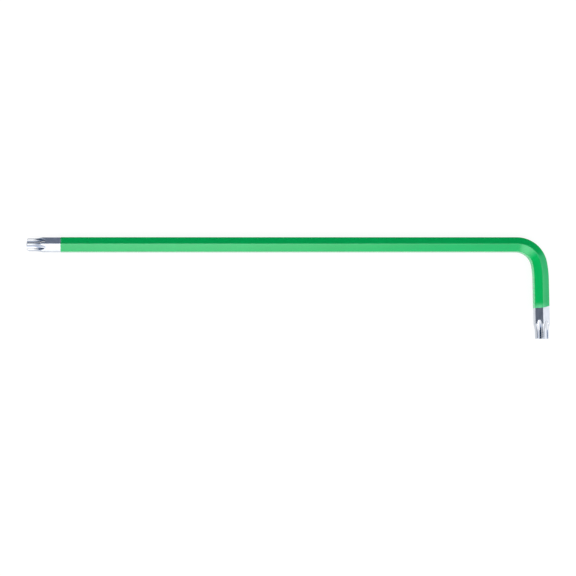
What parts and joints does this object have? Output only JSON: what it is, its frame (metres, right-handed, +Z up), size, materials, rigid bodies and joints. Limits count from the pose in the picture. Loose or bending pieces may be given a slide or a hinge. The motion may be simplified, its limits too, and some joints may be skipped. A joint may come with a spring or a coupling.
{
  "type": "star key",
  "caption": "L-shaped star key for turning star-recess screws: a bent hexagon steel bar with a bare star tip on each arm and a green colour coating over the shaft.",
  "frame": {"origin": "bottom centre of the key's box, with the key lying flat on the lowest corner line of its bar", "axes": "+X along the long arm towards the bend, +Y from the short arm's tip towards the long arm, +Z up"},
  "size_m": [0.1464, 0.0286, 0.0047],
  "materials": {
    "bright_steel": "bright plated, fine satin grain",
    "green_coating": "glossy powder coat"
  },
  "bodies": {
    "root": {"steel_key": "bright_steel", "green_coating": "green_coating"}
  },
  "joints": []
}
